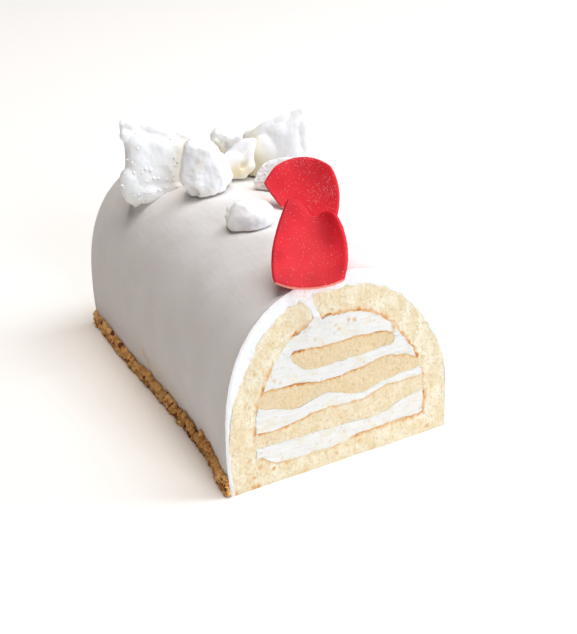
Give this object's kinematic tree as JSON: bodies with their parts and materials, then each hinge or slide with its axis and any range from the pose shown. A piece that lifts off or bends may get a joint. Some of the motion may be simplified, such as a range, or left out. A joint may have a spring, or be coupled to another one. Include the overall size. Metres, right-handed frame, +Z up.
{
  "type": "yule log cake",
  "caption": "Half-round yule log cake, cut at the ends: rolled sponge with cream layers, whipped cream coat, meringue and red petals on top.",
  "frame": {"origin": "centre of the bounding box at the underside of the cake", "axes": "+Y along the log from the cut front end to the back, +Z up, +X to the right seen from the cut front end"},
  "size_m": [0.0848, 0.151, 0.09],
  "materials": {
    "whipped_cream": "smooth matte whipped cream with faint pits and spatula marks",
    "filling_cream": "cut vanilla cream, soft and slightly ridged",
    "sponge": "open-crumbed pale yellow sponge with a thin golden-brown skin",
    "meringue": "dry chalky white, studded with sugar crystals",
    "red_petal": "satin red with sparkling sugar specks",
    "crumbs": "golden to brown baked crumbs",
    "sugar": "clear to white sugar crystals"
  },
  "bodies": {
    "root": {"cream_coat": "whipped_cream", "sponge_wrap": "sponge", "sponge_layer_1": "sponge", "sponge_layer_2": "sponge", "sponge_layer_3": "sponge", "cream_layer_1": "filling_cream", "cream_layer_2": "filling_cream", "cream_layer_3": "filling_cream", "cream_layer_4": "filling_cream", "meringue_wing_left": "meringue", "meringue_wing_right": "meringue", "meringue_bud_front": "meringue", "meringue_bud_middle": "meringue", "meringue_bud_right": "meringue", "meringue_drop": "meringue", "petal_white": "meringue", "petal_front": "red_petal", "petal_rear": "red_petal"}
  },
  "joints": []
}
